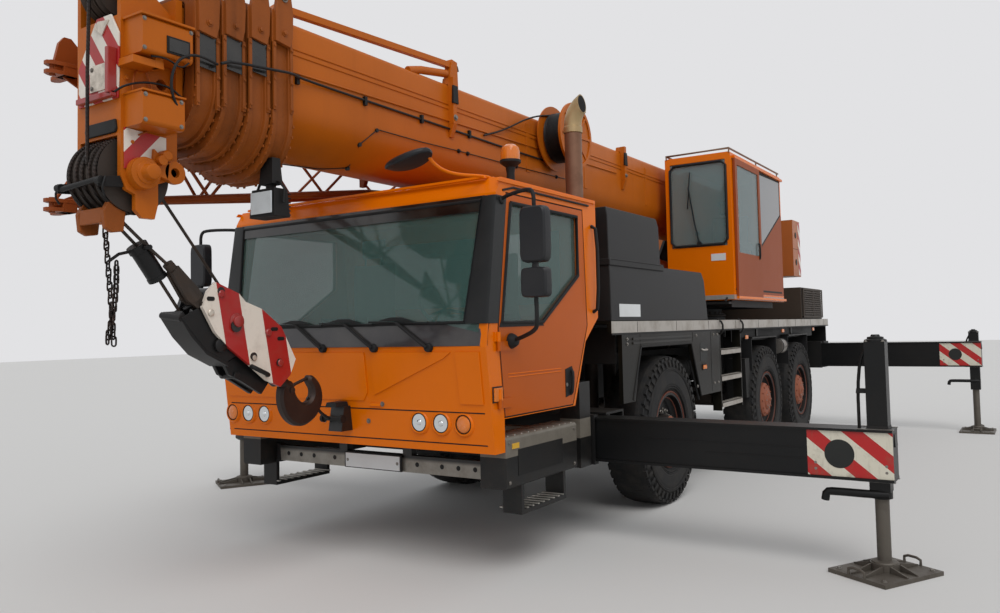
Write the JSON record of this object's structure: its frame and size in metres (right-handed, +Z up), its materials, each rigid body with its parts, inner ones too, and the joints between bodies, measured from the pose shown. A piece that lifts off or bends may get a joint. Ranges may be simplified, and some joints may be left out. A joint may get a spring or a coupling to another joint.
{
  "type": "mobile crane",
  "caption": "All-terrain telescopic mobile crane with a full-width driver's cab, slewing operator's cab, horizontal boom, hook block and extended outriggers.",
  "frame": {"origin": "on the ground under the middle of the crane's own box, wheels and outrigger feet on the ground", "axes": "+Z up, +Y to the rear of the vehicle, +X to its left, the side of the operator's cab"},
  "size_m": [7.1004, 11.519, 3.665],
  "materials": {
    "black": "satin",
    "deck": "satin",
    "iron": "matte",
    "plastic": "matte",
    "rust": "matte",
    "orange": "gloss",
    "glass": "clear",
    "fabric": "matte",
    "steel": "satin",
    "lens": "clear",
    "tyre": "matte",
    "rim": "satin",
    "chrome": "polished"
  },
  "bodies": {
    "carrier": {"chassis_frame": "black", "deck": "deck", "axles": "iron", "deck_boxes": "plastic", "engine_block": "iron", "exhaust_stack": "rust", "driver_cab": "orange", "driver_cab_glass": "glass", "cab_interior": "fabric", "front_bumper": "steel", "cab_steps": "plastic", "cab_lamps": "lens", "mirrors": "plastic"},
    "door_left": {"door_left": "orange", "door_glass_left": "glass"},
    "knuckle_left": {"knuckle_left": "iron"},
    "door_right": {"door_right": "orange", "door_glass_right": "glass"},
    "knuckle_right": {"knuckle_right": "iron"},
    "wheel_front_left": {"tyre_front_left": "tyre", "rim_front_left": "rim"},
    "wheel_front_right": {"tyre_front_right": "tyre", "rim_front_right": "rim"},
    "wheel_middle_left": {"tyre_middle_left": "tyre", "rim_middle_left": "rim"},
    "wheel_middle_right": {"tyre_middle_right": "tyre", "rim_middle_right": "rim"},
    "wheel_rear_left": {"tyre_rear_left": "tyre", "rim_rear_left": "rim"},
    "wheel_rear_right": {"tyre_rear_right": "tyre", "rim_rear_right": "rim"},
    "beam_front_left": {"outrigger_beam_front_left": "black"},
    "foot_front_left": {"jack_foot_front_left": "steel"},
    "beam_front_right": {"outrigger_beam_front_right": "black"},
    "foot_front_right": {"jack_foot_front_right": "steel"},
    "beam_rear_left": {"outrigger_beam_rear_left": "black"},
    "foot_rear_left": {"jack_foot_rear_left": "steel"},
    "beam_rear_right": {"outrigger_beam_rear_right": "black"},
    "foot_rear_right": {"jack_foot_rear_right": "steel"},
    "superstructure": {"turning_frame": "orange", "counterweight": "orange", "operator_cab": "orange", "operator_cab_glass": "glass", "operator_seat": "fabric"},
    "operator_door": {"operator_door": "orange", "operator_door_glass": "glass"},
    "winch": {"winch_drum": "steel"},
    "boom": {"boom_base": "orange", "jib": "orange", "cable_reel": "black"},
    "lift_barrel": {"lift_barrel": "orange"},
    "lift_rod": {"lift_rod": "chrome"},
    "section_1": {"boom_section_1": "orange"},
    "section_2": {"boom_section_2": "orange"},
    "section_3": {"boom_section_3": "orange"},
    "section_4": {"boom_section_4": "orange", "boom_sheaves": "iron"},
    "hook": {"hook_block": "black", "hook": "iron", "hoist_ropes": "steel"}
  },
  "joints": [
    {"name": "door_left_hinge", "type": "hinge", "parent": "carrier", "child": "door_left", "pos_m": [1.2663, -3.8285, 1.14], "axis": [0, 0, -1], "range_deg": [0, 70]},
    {"name": "steer_left", "type": "hinge", "parent": "carrier", "child": "knuckle_left", "pos_m": [0.98, -1.0475, 0.665], "axis": [0, 0, 1], "range_deg": [-36, 36]},
    {"name": "door_right_hinge", "type": "hinge", "parent": "carrier", "child": "door_right", "pos_m": [-1.2663, -3.8285, 1.14], "axis": [0, 0, 1], "range_deg": [0, 70]},
    {"name": "steer_right", "type": "hinge", "parent": "carrier", "child": "knuckle_right", "pos_m": [-0.98, -1.0475, 0.665], "axis": [0, 0, 1], "range_deg": [-36, 36]},
    {"name": "wheel_front_left_spin", "type": "hinge", "parent": "knuckle_left", "child": "wheel_front_left", "pos_m": [1.083, -1.0475, 0.665], "axis": [1, 0, 0], "continuous": true},
    {"name": "wheel_front_right_spin", "type": "hinge", "parent": "knuckle_right", "child": "wheel_front_right", "pos_m": [-1.083, -1.0475, 0.665], "axis": [1, 0, 0], "continuous": true},
    {"name": "wheel_middle_left_spin", "type": "hinge", "parent": "carrier", "child": "wheel_middle_left", "pos_m": [1.083, 2.0785, 0.665], "axis": [1, 0, 0], "continuous": true},
    {"name": "wheel_middle_right_spin", "type": "hinge", "parent": "carrier", "child": "wheel_middle_right", "pos_m": [-1.083, 2.0785, 0.665], "axis": [1, 0, 0], "continuous": true},
    {"name": "wheel_rear_left_spin", "type": "hinge", "parent": "carrier", "child": "wheel_rear_left", "pos_m": [1.083, 3.7295, 0.665], "axis": [1, 0, 0], "continuous": true},
    {"name": "wheel_rear_right_spin", "type": "hinge", "parent": "carrier", "child": "wheel_rear_right", "pos_m": [-1.083, 3.7295, 0.665], "axis": [1, 0, 0], "continuous": true},
    {"name": "outrigger_front_left_slide", "type": "slide", "parent": "carrier", "child": "beam_front_left", "axis": [1, 0, 0], "range_m": [-2.087, 0]},
    {"name": "jack_front_left_slide", "type": "slide", "parent": "beam_front_left", "child": "foot_front_left", "axis": [0, 0, -1], "range_m": [-0.43, 0]},
    {"name": "outrigger_front_right_slide", "type": "slide", "parent": "carrier", "child": "beam_front_right", "axis": [-1, 0, 0], "range_m": [-2.087, 0]},
    {"name": "jack_front_right_slide", "type": "slide", "parent": "beam_front_right", "child": "foot_front_right", "axis": [0, 0, -1], "range_m": [-0.43, 0]},
    {"name": "outrigger_rear_left_slide", "type": "slide", "parent": "carrier", "child": "beam_rear_left", "axis": [1, 0, 0], "range_m": [-2.171, 0]},
    {"name": "jack_rear_left_slide", "type": "slide", "parent": "beam_rear_left", "child": "foot_rear_left", "axis": [0, 0, -1], "range_m": [-0.43, 0]},
    {"name": "outrigger_rear_right_slide", "type": "slide", "parent": "carrier", "child": "beam_rear_right", "axis": [-1, 0, 0], "range_m": [-2.171, 0]},
    {"name": "jack_rear_right_slide", "type": "slide", "parent": "beam_rear_right", "child": "foot_rear_right", "axis": [0, 0, -1], "range_m": [-0.43, 0]},
    {"name": "slew", "type": "hinge", "parent": "carrier", "child": "superstructure", "pos_m": [0, 2.1405, 1.74], "axis": [0, 0, 1], "continuous": true},
    {"name": "operator_door_slide", "type": "slide", "parent": "superstructure", "child": "operator_door", "axis": [0, 1, 0], "range_m": [0, 0.86]},
    {"name": "winch_spin", "type": "hinge", "parent": "superstructure", "child": "winch", "pos_m": [0, 4.4605, 2.8], "axis": [1, 0, 0], "continuous": true},
    {"name": "boom_luff", "type": "hinge", "parent": "superstructure", "child": "boom", "pos_m": [0, 3.6405, 3.12], "axis": [-1, 0, 0], "range_deg": [0, 82]},
    {"name": "lift_swing", "type": "hinge", "parent": "superstructure", "child": "lift_barrel", "pos_m": [0, 2.6405, 2.26], "axis": [-1, 0, 0], "range_deg": [0, 83.53]},
    {"name": "lift_extend", "type": "slide", "parent": "lift_barrel", "child": "lift_rod", "axis": [0, -0.9956, 0.0933], "range_m": [0, 1.7341]},
    {"name": "telescope_1", "type": "slide", "parent": "boom", "child": "section_1", "axis": [0, -1, 0], "range_m": [0, 7.3]},
    {"name": "telescope_2", "type": "slide", "parent": "section_1", "child": "section_2", "axis": [0, -1, 0], "range_m": [0, 7.3]},
    {"name": "telescope_3", "type": "slide", "parent": "section_2", "child": "section_3", "axis": [0, -1, 0], "range_m": [0, 7.3]},
    {"name": "telescope_4", "type": "slide", "parent": "section_3", "child": "section_4", "axis": [0, -1, 0], "range_m": [0, 7.3]},
    {"name": "hook_swing", "type": "hinge", "parent": "section_4", "child": "hook", "pos_m": [0, -5.5595, 2.46], "axis": [1, 0, 0], "range_deg": [0, 32.5]}
  ],
  "couplings": [
    {"joint": "steer_right", "follows": "steer_left", "ratio": 1},
    {"joint": "lift_swing", "follows": "boom_luff", "ratio": 1.0126},
    {"joint": "lift_extend", "follows": "boom_luff", "m_per_rad": 1.2082},
    {"joint": "telescope_2", "follows": "telescope_1", "ratio": 1},
    {"joint": "telescope_3", "follows": "telescope_1", "ratio": 1},
    {"joint": "telescope_4", "follows": "telescope_1", "ratio": 1},
    {"joint": "hook_swing", "follows": "boom_luff", "ratio": 0.39024}
  ]
}
